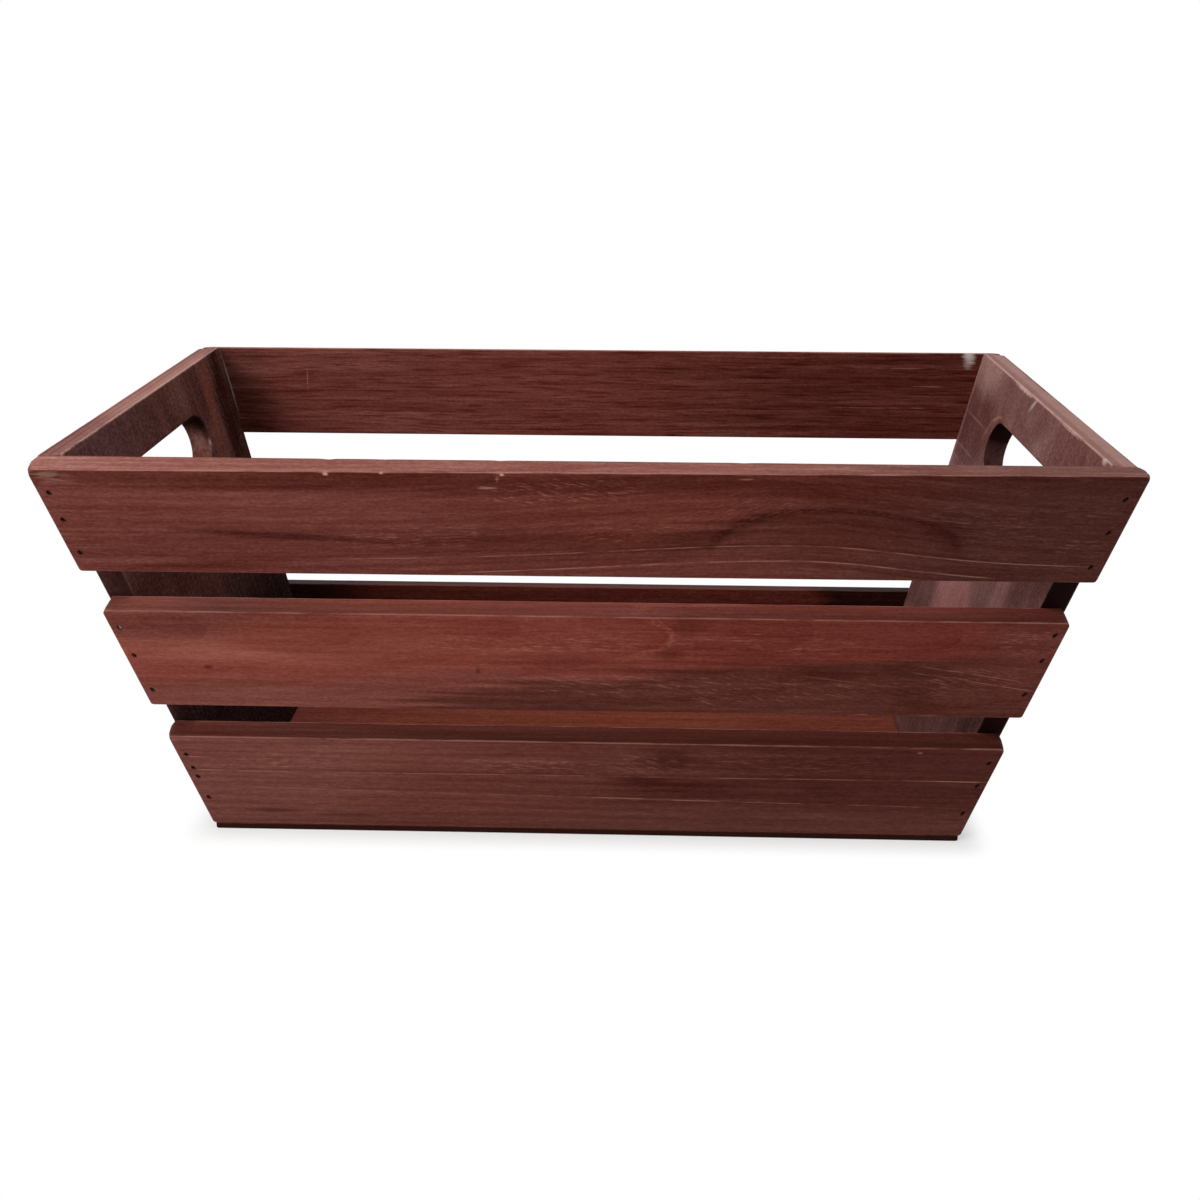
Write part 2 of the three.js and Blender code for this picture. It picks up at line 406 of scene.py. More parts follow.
def face_points(board, depth):
    """The candidates that lie clear of every edge, each with how rubbed the wood is there."""
    corners = board.corners(depth)
    kept = []
    for point, inset in face_candidates(board, corners):
        rim = distance_to_sides(point, corners) - board.ease
        gaps = []
        for opening in board.openings:
            gaps.append(opening.distance(point) - KEPT_CLEAR * min(inset, opening.insets[0]))
        if rim > KEPT_CLEAR * inset and min(gaps, default=1) > 0:
            rubbed = [opening.distance(point) for opening in board.openings if opening.wear == RUBBED]
            kept.append((point, faded_wear(min([rim, *rubbed]))))
    return kept


def board_mesh(board):
    salt = sum(map(ord, board.node)) % SALTS
    mesh = Mesh()
    corners = board.corners(0)
    sides = [(corners[(i + 1) % 4] - corner).length for i, corner in enumerate(corners)]
    steps = [max(2, round(side / EDGE_STEP)) for side in sides]
    known = {}

    def outer_at(depth):
        if depth not in known:
            known[depth] = board_loop(board.corners(depth), steps, board.rounds)
        return known[depth]

    eases = [edge_ease(board, point, salt) for point, _ in outer_at(0)]
    rings = loop_rings(outer_at, eases, board.thickness, (RUBBED, RUBBED), faded_wear)
    ends = [mesh.add_rings(rings, False)]
    for opening in board.openings:
        ends.append(mesh.add_rings(opening_rings(opening, board.thickness), True))
    for side, depth in enumerate((0, board.thickness)):
        loops = [pair[side] for pair in ends]
        mesh.cap(loops, face_points(board, depth), depth, board.openings)
    for point in mesh.points:
        point.z += out_of_flat(point, salt)
    return mesh


def add_board(board, material):
    mesh = board_mesh(board)
    data = bpy.data.meshes.new(board.node + "_board")
    data.from_pydata(mesh.points, [], mesh.faces)
    data.attributes.new("wear", "FLOAT", "POINT").data.foreach_set("value", mesh.wear)
    data.shade_smooth()
    data.set_sharp_from_angle(angle=SHARP_ANGLE)
    data.materials.append(material)
    piece = bpy.data.objects.new(board.node + "_board", data)
    piece.matrix_world = FACES[board.face]
    bpy.context.scene.collection.objects.link(piece)
    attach(piece, "root")
    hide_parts(board.node)


# Nail holes: where nails enter a face, and which way their heads lie, read from the solids
def nail_holes(face, prefix):
    to_face = FACES[face].inverted()
    holes = []
    for name, node in sorted(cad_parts.items()):
        if name.startswith(prefix):
            points = [to_face @ vertex.co for vertex in node.data.vertices]
            top = max(point.z for point in points)
            head = [point.xy for point in points if point.z > top - TOUCHING]
            centre = sum(head, Vector((0, 0))) / len(head)
            holes.append(Opening(centre, HOLE_LENGTH, HOLE_WIDTH, head_spin(head), HOLE_EASE))
    return holes


def head_spin(head):
    """Direction of the longer side of a nail head's rectangle."""
    sides = sorted((p - head[0] for p in head), key=lambda side: side.length)
    sides = [side for side in sides if side.length > TOUCHING]
    return math.atan2(sides[-2].y, sides[-2].x)


# Nodes of a material, written as arithmetic
MIX_FIRST = 6  # sockets of a colour mix
MIX_SECOND = 7
MIX_RESULT = 2
SEED_SHIFT = 7.31  # how far apart the noises of two seeds are taken
BUMP_STRENGTH = 0.3


@dataclass
class Lumps:
    """A noise in a material."""
    lengths: tuple  # of its lumps along the grain, across it and through it, in millimetres
    salt: int  # tells it apart from the material's other noises
    detail: float = 2.0
    cut: tuple = ()  # its values where the marks that it makes start and where they are full


def math_method(name, swapped=False):
    """A method of a field that adds one math node."""
    def method(self, *others):
        values = (*others, self) if swapped else (self, *others)
        return self.shade.math(name, *values)

    return method


class Field:
    """A number that varies over a surface. Arithmetic on it adds nodes."""

    def __init__(self, shade, socket):
        self.shade = shade
        self.socket = socket

    __add__ = math_method("ADD")
    __radd__ = __add__
    __sub__ = math_method("SUBTRACT")
    __rsub__ = math_method("SUBTRACT", swapped=True)
    __mul__ = math_method("MULTIPLY")
    __rmul__ = __mul__
    __truediv__ = math_method("DIVIDE")
    __pow__ = math_method("POWER")
    __abs__ = math_method("ABSOLUTE")


def length(*parts):
    """Length of the vector with these parts."""
    return sum(part * part for part in parts) ** 0.5


class Shade:
    """The node tree of a material or of the world."""

    def __init__(self, owner, seed=0):
        owner.use_nodes = True
        self.seed = seed
        self.tree = owner.node_tree
        self.tree.nodes.clear()

    def put(self, socket, value):
        if isinstance(value, Field):
            value = value.socket
        if isinstance(value, bpy.types.NodeSocket):
            self.tree.links.new(value, socket)
        else:
            socket.default_value = value

    def node(self, kind, inputs=None, **settings):
        made = self.tree.nodes.new(kind)
        for key, value in settings.items():
            setattr(made, key, value)
        for key, value in (inputs or {}).items():
            self.put(made.inputs[key], value)
        return made

    def math(self, operation, *values):
        made = self.node("ShaderNodeMath", dict(enumerate(values)), operation=operation)
        return Field(self, made.outputs[0])

    def step(self, value, low, high):
        """0 below low and 1 above high, with a smooth rise between them."""
        inputs = {"Value": value, "From Min": low, "From Max": high}
        made = self.node("ShaderNodeMapRange", inputs, interpolation_type="SMOOTHSTEP")
        return Field(self, made.outputs["Result"])

    def noise(self, place, lumps):
        """Noise about 0.5."""
        shift = (self.seed + lumps.salt) * SEED_SHIFT
        parts = [axis / length + shift for axis, length in zip(place, lumps.lengths)]
        vector = self.node("ShaderNodeCombineXYZ", dict(enumerate(parts))).outputs[0]
        inputs = {"Vector": vector, "Scale": 1.0, "Detail": lumps.detail}
        return Field(self, self.node("ShaderNodeTexNoise", inputs).outputs["Fac"])

    def marks(self, place, lumps):
        """1 on the marks that a noise makes, and 0 between them."""
        return self.step(self.noise(place, lumps), *lumps.cut)

    def mix(self, share, first, second):
        inputs = {"Factor": share, MIX_FIRST: first, MIX_SECOND: second}
        return self.node("ShaderNodeMix", inputs, data_type="RGBA").outputs[MIX_RESULT]

    def split(self, vector):
        made = self.node("ShaderNodeSeparateXYZ", {0: vector})
        return tuple(Field(self, socket) for socket in made.outputs)

    def scale(self, vector, factor):
        made = self.node("ShaderNodeVectorMath", {0: vector, "Scale": factor}, operation="SCALE")
        return made.outputs[0]

    def bump(self, height, reach):
        inputs = {"Height": height, "Strength": BUMP_STRENGTH, "Distance": reach}
        return self.node("ShaderNodeBump", inputs).outputs[0]

    def cover(self, inputs):
        """Ends the tree of a material in a surface with the given inputs."""
        surface = self.node("ShaderNodeBsdfPrincipled", inputs)
        self.node("ShaderNodeOutputMaterial", {"Surface": surface.outputs[0]})


def colour(code):
    """A linear colour from the usual six hexadecimal digits."""
    parts = [int(code[i:i + 2], 16) / 255 for i in (0, 2, 4)]
    linear = [p / 12.92 if p <= 0.04045 else ((p + 0.055) / 1.055) ** 2.4 for p in parts]
    return (*linear, 1.0)


# Tones of the stained wood
PALE = "a8766a"  # where the stain is rubbed off
LINE = "9c7060"  # light growth lines
INK = "2a0604"  # where the stain has pooled
END_GRAIN = "1c0d0b"
# dirt and painted shade in holes
SHADE_AND_DIRT = "180a08"

# Noises in the wood
WANDER = Lumps((170, 36, 36), 0)
RING_WOBBLE = Lumps((260, 50, 50), 1)
BANDS = Lumps((240, 16, 16), 2, cut=(0.35, 0.65))
STREAKS = Lumps((80, 2.6, 2.6), 3, 3)
FIBRES = Lumps((7, 0.9, 0.9), 4)
STROKES = Lumps((1.9, 0.8, 0.8), 5, cut=(0.35, 0.6))
SPECKLE = Lumps((1.6, 1.6, 1.6), 6, 3)
DASHES = Lumps((11, 3, 3), 7, 3, (0.36, 0.58))
RUBBING = Lumps((16, 2, 2), 8, 3)
FLECKS = Lumps((6, 0.7, 0.7), 9, cut=(0.5, 0.72))
DARK_LINES = Lumps((24, 1.1, 1.1), 10, 3, (0.5, 0.68))
STRIPES = Lumps((50, 4, 4), 11)
CLOUDS = Lumps((13, 18, 13), 12)

# Strength of the fibres in the stain, in the relief and in the roughness
FIBRE_DEPTH = 0.32
STROKE_DEPTH = 0.4
LATE_WOOD_DEPTH = 0.05
SMOOTHED_TOP = 0.6  # how much of them the upper edge of an end panel loses
WOOD_RELIEF = 0.15 * MM
FIBRE_RELIEF = 0.6
STROKE_RELIEF = 0.5
STREAK_RELIEF = 0.3
ROUGHNESS = 0.5
FIBRE_ROUGHNESS = 0.35
BAND_ROUGHNESS = 0.3
WOOD_IOR = 1.4

# Where marks start and where they are full
UPPER_EDGE = (0.6, 0.95)  # by how far a surface faces up the board
WORN_AND_LIT_EDGE = (0.1, 0.6)  # the same, for the edges that are rubbed most and get a painted highlight
HOLE_ROOF = (-0.2, 0.7)  # by how far it faces down the board
SAWN_END = (0.7, 0.95)  # by how far it faces along the board
BOARD_FACE = (0.3, 0.8)  # by how far it faces out of the board
INNER_SIDE = (1.5, 4)  # by millimetres under the outer face
RUBBED_EDGE = (0.9, 1.04)  # by how worn it is
HOLE_WALL = (0.1, 0.8)  # by how far it lies in a hole's wall, which gets dirt and painted shade

# Wear, dirt and painted shade
RUB_RAGGED = 0.45
LEAST_RUB = 0.1  # paleness of edges that don't face up, which is wear alone, as a share of those that do
# painted shade on the roofs of holes, which face down
ROOF_SHADE = 0.85

# Inner faces of the boards, in millimetres
SLAT_INSIDE = -SLAT_THICKNESS / MM
END_INSIDE = -END_THICKNESS / MM


# Features of single boards, in millimetres: u along the board, v up it, w outward from its outer face
@dataclass
class Spot:
    """An ellipse on a board."""
    u: float
    v: float
    half_u: float
    half_v: float

    def offset(self, u, v, lean=0, slope=0):
        """A place as seen from the middle, in half sizes."""
        du = u - self.u
        dv = v - self.v
        return (du - dv * lean) / self.half_u, (dv - du * slope) / self.half_v


@dataclass
class Patch(Spot):
    """A stretch of a board with another tone."""
    tone: str
    amount: float
    soft: float = 0.6  # share of its size over which it fades
    slope: float = 0.0  # how far it rises along the board
    ragged: float = 0.4  # how far the streaks of the wood break up its border
    lean: float = 0.0  # how far it leans along the board as it rises

    def share(self, wood):
        u, v, _ = wood.place
        away = length(*self.offset(u, v, self.lean, self.slope)) + (wood.streak - 0.5) * self.ragged
        return 1 - wood.step(away, 1 - self.soft, 1 + self.soft)


@dataclass
class Rim(Spot):
    """A curved line where the grain turns: part of an ellipse, beyond a place along and up the board."""
    width: float
    tone: str
    amount: float
    from_u: float = -300.0
    from_v: float = -300.0
    fade_u: float = 25.0  # lengths over which it starts
    fade_v: float = 8.0
    core: float = 0.2  # share of its width in which it is full
    ragged: float = 2.0  # widths by which it wanders

    def share(self, wood):
        u, v, _ = wood.place
        du, dv = self.offset(u, v)
        away = length(du, dv)
        steepness = length(du / self.half_u, dv / self.half_v)
        border = abs((away - 1) * away / steepness + (wood.streak - 0.5) * self.width * self.ragged)
        thread = 1 - wood.step(border, self.width * self.core, self.width)
        shown_u = wood.step(u, self.from_u, self.from_u + self.fade_u)
        shown_v = wood.step(v, self.from_v, self.from_v + self.fade_v)
        return thread * shown_u * shown_v * wood.step(wood.stroke, *STROKES.cut)


@dataclass
class Vein:
    """A thin light growth line along the grain."""
    v: float
    start: float
    end: float
    amount: float
    gaps: float = 0.7  # how far it is broken into dashes
    slope: float = 0.0
    width: float = 0.4
    core: float = 0.3  # share of its width in which it is full
    fade: float = 6.0  # half the length over which it starts and ends
    tone: str = LINE

    def share(self, wood):
        u, across, _ = wood.lie
        away = abs(across - self.v - u * self.slope)
        thread = 1 - wood.step(away, self.width * self.core, self.width)
        started = wood.step(u, self.start - self.fade, self.start + self.fade)
        ended = wood.step(u, self.end - self.fade, self.end + self.fade)
        return thread * (started - ended) * (wood.dashes * self.gaps + (1 - self.gaps))


@dataclass
class Scuff(Spot):
    """A small mark of another tone, broken up by the fibres."""
    amount: float
    tone: str = PALE
    lean: float = 0.0
    ragged: float = 2.0
    deep: float = 1.2  # how far it reaches through the board
    w: float = None  # its own, if it isn't on the face that has the features
    border: tuple = (0.2, 1.2)

    def share(self, wood):
        u, v, w = wood.place
        surface = wood.grain.face if self.w is None else self.w
        away = length(*self.offset(u, v, self.lean), (w - surface) / self.deep)
        return 1 - wood.step(away - (wood.fibre - 0.5) * self.ragged, *self.border)


@dataclass
class Flecks(Spot):
    """A place where light flecks crowd together, slanting across the grain."""
    amount: float
    slant: float = 0.0
    border: tuple = (0.5, 1.2)

    def share(self, wood):
        u, across, w = wood.lie
        inside = 1 - wood.step(length(*self.offset(u, across)), *self.border)
        return wood.marks((u, across + u * self.slant, w), FLECKS) * inside


@dataclass
class Stripe:
    """A dark line along the upper edge of a board."""
    w: float
    width: float
    amount: float
    core: float = 0.3  # share of its width in which it is full
    wander: float = 3.0

    def share(self, wood):
        wander = (wood.noise(wood.place, STRIPES) - 0.5) * self.wander
        away = abs(wood.place[2] - self.w + wander)
        return 1 - wood.step(away, self.width * self.core, self.width)


@dataclass
class Bend:
    """A place where the grain rises across the board, with a slope on either side."""
    u: float
    left: float
    right: float
    rise: float


@dataclass
class Grain:
    """How the grain of one board runs, how it took the stain, and where light and shade are painted on
    it.
    """
    seed: float
    red: str
    brown: str
    upright: bool = False  # whether the grain runs up the board
    upper: float = 0.05  # how much lighter the faces that look up are made: painted light from above
    gloss: float = 0.02
    streaks: float = 0.35  # strength of these and of the next four
    dark_lines: float = 0.0
    fibres: float = 1.0
    speckle: float = 0.0
    clouds: float = 0.0
    pith_v: float = 150.0  # the heart of the log: across the board, under it, and its slope along it
    pith_depth: float = 80.0
    pith_slope: float = 0.0
    ring: float = 5.0  # width of a growth ring
    wander: float = 3.0  # how far the grain wanders across the board
    wear: float = 0.6  # strength of the pale edges: rubbed wear, with a painted highlight on the upper ones
    rubbed: str = PALE  # their tone
    end_grain: float = 0.75  # strength of the dark sawn ends
    dark_sides: float = 0.0  # strength of dark edges all round, partly dark stain and partly painted shade
    hole_dirt_and_shade: float = 0.25  # dirt and painted shade on the walls of holes, besides the extra painted shade on their roofs
    face: float = 0.0  # w of the face that has the features; inner ones reach the upper edge too
    bends: tuple = ()
    patches: tuple = ()
    rims: tuple = ()
    flecks: tuple = ()
    veins: tuple = ()
    scuffs: tuple = ()
    stripes: tuple = ()


class Wood(Shade):
    """The nodes of one board's wood: where a point lies in it, the fibres there, and the tones."""

    def __init__(self, material, grain):
        super().__init__(material, grain.seed)
        self.grain = grain
        texture = self.node("ShaderNodeTexCoord")
        self.place = self.split(self.scale(texture.outputs["Object"], 1 / MM))
        self.facing = self.split(texture.outputs["Normal"])
        self.upper = self.step(self.facing[1], *UPPER_EDGE)
        self.lie = self.grain_run()
        self.band = self.noise(self.lie, BANDS)
        self.streak = self.noise(self.lie, STREAKS)
        self.fibre = self.noise(self.lie, FIBRES)
        self.stroke = self.noise(self.lie, STROKES)
        self.dashes = self.marks(self.lie, DASHES)

    def grain_run(self):
        """Place in the wood: along the grain, across it as the grain wanders, and through the board."""
        u, v, w = self.place
        if self.grain.upright:
            u, v = v, u
        across = v + (self.noise((u, v, w), WANDER) - 0.5) * self.grain.wander
        for bend in self.grain.bends:
            away = self.math("MAXIMUM", (u - bend.u) / bend.right, (u - bend.u) / -bend.left)
            across = across - self.math("EXPONENT", away * away * -1) * bend.rise
        return u, across, w

    def late_wood(self):
        """Share of the dark late wood, which grows across each ring round the heart of the log."""
        u, across, w = self.lie
        grain = self.grain
        radius = length(across - grain.pith_v, w + u * grain.pith_slope + grain.pith_depth)
        rings = radius / grain.ring + self.noise(self.lie, RING_WOBBLE)
        return self.math("FRACT", rings) ** 3

    def paint(self, tone, features):
        """Lays the tones of features over a tone, one after another."""
        for feature in features:
            tone = self.mix(feature.share(self) * feature.amount, tone, colour(feature.tone))
        return tone

    def bare_tone(self):
        """Tone of the wood in each part of the board, under plain stain; some parts carry painted shade
        or light.
        """
        grain = self.grain
        plain = self.mix(self.step(self.band, *BANDS.cut), colour(grain.brown), colour(grain.red))
        tone = self.paint(plain, (*grain.patches, *grain.rims))
        if grain.face:
            within = self.step(self.place[2] * -1, *INNER_SIDE)
            tone = self.mix(self.math("MAXIMUM", within, self.upper), plain, tone)
        return tone

    def stain_depth(self):
        """Depth of the stain: 1 is plain, and deeper stain is darker and redder. Faces that look up are
        also lightened here, as painted light.
        """
        grain = self.grain
        fine = (self.fibre - 0.5) * FIBRE_DEPTH + (self.stroke - 0.5) * STROKE_DEPTH
        depth = 1 - (self.streak - 0.5) * grain.streaks - fine * grain.fibres
        depth = depth + self.late_wood() * LATE_WOOD_DEPTH
        if grain.dark_lines:
            depth = depth + self.marks(self.lie, DARK_LINES) * grain.dark_lines
        if grain.speckle:
            depth = depth - (self.noise(self.place, SPECKLE) - 0.5) * grain.speckle
        if grain.clouds:
            depth = depth - (self.noise(self.place, CLOUDS) - 0.5) * grain.clouds
        if grain.upright:
            depth = depth - (depth - 1) * self.upper * SMOOTHED_TOP
        # painted light: faces that look up are lightened
        depth = depth - self.upper * grain.upper
        for stripe in grain.stripes:
            depth = depth + self.upper * stripe.share(self) * stripe.amount
        for spot in grain.flecks:
            depth = depth - spot.share(self) * spot.amount
        return depth

    def add_wear(self, tone):
        """Dark end grain, pale edges with a painted highlight on the upper ones, and dirt and painted
        shade in the holes.
        """
        grain = self.grain
        wear = Field(self, self.node("ShaderNodeAttribute", attribute_name="wear").outputs["Fac"])
        hole = self.step(wear * -1, *HOLE_WALL)
        sawn = self.step(abs(self.facing[0]), *SAWN_END) * (1 - hole)
        tone = self.mix(sawn * grain.end_grain, tone, colour(END_GRAIN))
        # dark edges of the base: partly dark stain, partly painted shade under the slats
        if grain.dark_sides:
            side = 1 - self.step(abs(self.facing[2]), *BOARD_FACE)
            tone = self.mix(side * grain.dark_sides, tone, colour(END_GRAIN))
        # pale edges: rubbed wear all round, with a painted highlight on the edges that face up
        ragged = wear + (self.noise(self.place, RUBBING) - 0.5) * RUB_RAGGED
        strength = self.step(self.facing[1], *WORN_AND_LIT_EDGE) * (1 - LEAST_RUB) + LEAST_RUB
        rubbed = self.step(ragged, *RUBBED_EDGE) * strength * grain.wear
        tone = self.mix(rubbed, tone, colour(grain.rubbed))
        # painted shade: holes are darkest on their roofs, which face down
        roof = self.step(self.facing[1] * -1, *HOLE_ROOF)
        return self.mix(hole * (roof * ROOF_SHADE + grain.hole_dirt_and_shade), tone, colour(SHADE_AND_DIRT))

    def finish(self):
        stain = {"Color": self.bare_tone(), "Gamma": self.stain_depth()}
        stained = self.node("ShaderNodeGamma", stain).outputs[0]
        marked = self.paint(stained, (*self.grain.veins, *self.grain.scuffs))
        relief = self.fibre * FIBRE_RELIEF + self.stroke * STROKE_RELIEF + self.streak * STREAK_RELIEF
        rough = (self.fibre - 0.5) * FIBRE_ROUGHNESS + (self.band - 0.5) * BAND_ROUGHNESS + ROUGHNESS
        self.cover({
            "Base Color": self.add_wear(marked),
            "Roughness": rough,
            "IOR": WOOD_IOR,
            "Specular IOR Level": self.grain.gloss,
            "Normal": self.bump(relief, WOOD_RELIEF),
        })


# Nail steel
BLOTCHES = Lumps((0.8, 0.8, 0.8), 0, 4, (0.35, 0.65))
SCRATCHES = Lumps((0.2, 1.5, 0.2), 1, 3)
STEEL_RELIEF = 0.05 * MM
STEEL_GLOSS = 0.5  # specular level of bare metal
BLOTCH_SMOOTHNESS = 0.15
SCRATCH_ROUGHNESS = 0.2


def steel(name, seed, dull, bright, metal, rough):
    material = bpy.data.materials.new(name)
    shade = Shade(material, seed)
    texture = shade.node("ShaderNodeTexCoord")
    spot = shade.split(shade.scale(texture.outputs["Object"], 1 / MM))
    blotches = shade.marks(spot, BLOTCHES)
    scratches = shade.noise(spot, SCRATCHES)
    shade.cover({
        "Base Color": shade.mix(blotches, colour(dull), colour(bright)),
        "Metallic": metal,
        "Specular IOR Level": metal * STEEL_GLOSS,
        "Roughness": rough - blotches * BLOTCH_SMOOTHNESS + scratches * SCRATCH_ROUGHNESS,
        "Normal": shade.bump(scratches, STEEL_RELIEF),
    })
    return material


# Woods of the boards, with what the photograph shows on each
GRAINS = {}

GRAINS["front_slat_top"] = Grain(
    seed=1, fibres=0.92, red="693831", brown="63342d", upper=0.32, gloss=0.03, wander=1.5, wear=0.45,
    bends=[Bend(92, 105, 60, 8), Bend(60, 160, 200, 2)],
    veins=[
        Vein(-42, -120, 35, 0.35, 0.9),
        Vein(-42, 35, 215, 0.45, 0.8),
        Vein(-49.5, -50, 172, 0.5, 0.75, 0, 0.45),
    ],
    patches=[
        Patch(-120, -38, 120, 12, "5c2d27", 0.7, 0.5),
        Patch(0, -33, 70, 8, "4f241d", 0.8, 0.5),
        Patch(20, -15, 62, 13, "602d23", 0.7),
        Patch(235, -24, 130, 200, "45241f", 0.95, 0.5),
        Patch(105, -8, 42, 8, "50251e", 0.6),
        Patch(104, -25, 36, 11, "482019", 0.75),
        Patch(-50, -3, 185, 6.5, "50231c", 0.9, 0.5, 0, 0.8),
        Patch(-130, -30, 38, 1.6, "3a140f", 0.75, 0.6, -0.045, 0.8),
        Patch(-165, -45, 35, 2, "4a1d16", 0.5, 0.7, 0.08, 0.8),
        Patch(52, -29, 22, 6, "34120d", 0.5, 0.8, 0.3, 1.6),
        Patch(152, -26, 8, 8, "34120d", 0.4, 0.8, -0.5, 1.6),
        Patch(190, 0.8, 90, 2, "3a1712", 0.6),
    ],
    rims=[Rim(106, -36, 52, 21, 3, INK, 0.75, -300, -38)],
    flecks=[
        Flecks(-8, -13, 40, 7, 0.32, 0.25),
        Flecks(72, -24, 24, 8, 0.2, -0.4),
        Flecks(-65, -32, 45, 6, 0.25),
        Flecks(20, -34, 30, 6, 0.2),
        Flecks(212, -17, 14, 4, 0.22),
        Flecks(206, -33, 14, 6, 0.25),
        Flecks(165, -25, 30, 14, 0.15),
    ],
    scuffs=[
        Scuff(-221, -3, 7, 2.2, 0.32, "9c8070", 0, 3),
        Scuff(-216, -6, 9, 2, 0.2, "8c5f55"),
        Scuff(-222, 0, 7, 0.5, 0.7, "c89a84"),
        Scuff(-38, -6.4, 2.6, 0.6, 0.5, PALE, 0, 5),
        Scuff(-34, -2.5, 0.8, 1.4, 0.4),
        Scuff(68, -1.5, 3.5, 0.5, 0.35),
        Scuff(-104.5, -0.8, 1.4, 1.1, 0.9, "c09488"),
        Scuff(-81.5, -0.4, 1, 0.7, 0.8, "c09488"),
        Scuff(-32, -0.4, 1.1, 0.8, 0.9, "c09488"),
    ],
    stripes=[Stripe(-12.6, 1, 0.5)],
)

GRAINS["front_slat_middle"] = Grain(
    seed=2, fibres=0.8, red="7a3e35", brown="753a31", upper=0.1, gloss=0.03, wander=2, wear=0.5,
    pith_v=-78, pith_depth=60, pith_slope=0.075,
    veins=[
        Vein(-72, 148, 200, 0.4, 0.9, -0.165),
        Vein(-68, 150, 195, 0.3, 1.0, -0.165),
        Vein(-85, 100, 134, 0.3, 0.9, -0.14),
    ],
    patches=[
        Patch(150, -80, 115, 60, "612a22", 0.9, 0.35),
        Patch(-120, -88, 95, 7.5, "8c5044", 0.8),
        Patch(-165, -66, 72, 17, "5f322b", 0.85, 0.25, 0.1),
        Patch(-60, -79, 100, 18, "6f352b", 0.65, 0.15),
        Patch(0, -95, 34, 4, "602a22", 0.6),
        Patch(-150, -120, 90, 14, "6e4038", 0.8, 0.3),
        Patch(-45, -116, 85, 17, "6c3c35", 0.7, 0.2, 0, 0.7),
        Patch(150, -122, 280, 33, "4f2922", 0.9, 0.12, 0.06, 0.6),
        Patch(203, -80, 26, 30, "5c2f28", 0.8, 0.4),
        Patch(46, -73.5, 8, 4, "45170f", 0.6, 0.8),
        Patch(39, -88, 6, 3, "45170f", 0.5, 0.8),
        Patch(105, -97, 14, 3, INK, 0.4, 0.9),
        Patch(150, -95.5, 13, 2.5, INK, 0.5, 0.9),
        Patch(150, -110, 10, 5, INK, 0.4, 0.9),
        Patch(-168.4, -98.4, 1.8, 1.0, "4a0c08", 0.75, 0.8),
        Patch(-46.6, -98.2, 1.0, 1.4, INK, 0.5),
        Patch(-196, -67.5, 24, 2.2, "8a4c42", 0.7, 0.8),
        Patch(190, -67.5, 30, 2.2, "4a1c17", 0.7, 0.8),
        Patch(10, -67.5, 60, 2.2, "733a33", 0.6, 0.8),
    ],
    rims=[
        Rim(-60, -79, 100, 18.5, 1.8, "8c4c3f", 0.5, 12),
        Rim(-60, -79, 97, 16, 1.6, "561f17", 0.45, 12),
    ],
    flecks=[
        Flecks(5, -82, 30, 8, 0.25),
        Flecks(-45, -85, 35, 6, 0.18),
        Flecks(85, -82, 50, 7, 0.2),
        Flecks(60, -106, 120, 9, 0.22, 0.2),
        Flecks(170, -100, 30, 7, 0.22, 0.24),
        Flecks(195, -80, 16, 9, 0.2),
        Flecks(55, -112, 7, 5, 0.2, 0.4),
    ],
    scuffs=[
        Scuff(125, -119.8, 5, 0.6, 0.5),
        Scuff(156, -119.8, 4, 0.6, 0.5),
    ],
    # painted shadow of the top slat, darkening the back of this slat's upper face
    stripes=[Stripe(-9, 5, 0.04)],
)

GRAINS["front_slat_bottom"] = Grain(
    seed=3, fibres=0.72, red="65372f", brown="5f342c", upper=0, gloss=0.03, wander=1.6, wear=0.5,
    veins=[
        Vein(-157.6, -172, 190, 0.35, 0.8),
        Vein(-157.6, -182, -173, 0.8),
        Vein(-170.4, -165, 178, 0.3, 0.9, -0.018),
        Vein(-170.4, 0, 60, 0.45, 0.7, -0.018),
        Vein(-149.8, -190, -180, 0.8),
        Vein(-140, -194, -184, 0.5),
        Vein(-157.6, 164, 190, 0.6),
    ],
    patches=[
        Patch(-175, -160, 75, 300, "6c4039", 0.85, 0.4),
        Patch(-110, -146, 70, 8, "6e3f37", 0.6),
        Patch(170, -165, 150, 300, "4a241e", 0.95),
        Patch(100, -186, 150, 11, "623932", 0.75, 0.4),
        Patch(20, -149, 18, 9, "5d352e", 0.6, 0.8),
        Patch(40, -147, 12, 6, "3a1510", 0.6, 0.8),
        Patch(28, -159.5, 14, 1.8, INK, 0.7, 0.7, 0, 0.8),
        Patch(42, -163, 26, 4, "3a130d", 0.6, 0.7, 0, 0.8),
        Patch(112, -164, 10, 3, "3a130d", 0.5, 0.8),
        Patch(-150, -182, 12, 1.2, INK, 0.5, 0.8),
        Patch(-112, -184, 13, 1, INK, 0.4, 0.8),
        # painted shade: the upper face of this slat, under the middle slat, is darkened
        Patch(0, -136.5, 300, 2.2, "52271f", 0.8, 0.3),
        Patch(-182, -136.8, 28, 2, "6a382f", 0.45, 0.8),
    ],
    flecks=[
        Flecks(-20, -153, 45, 6, 0.22),
        Flecks(30, -150, 22, 6, 0.3, 0.2),
        Flecks(60, -171.5, 70, 1.5, 0.22),
        Flecks(100, -150, 60, 8, 0.2),
        Flecks(-140, -152, 40, 7, 0.15),
    ],
    scuffs=[Scuff(155, -141, 1.4, 0.7, 0.4)],
)

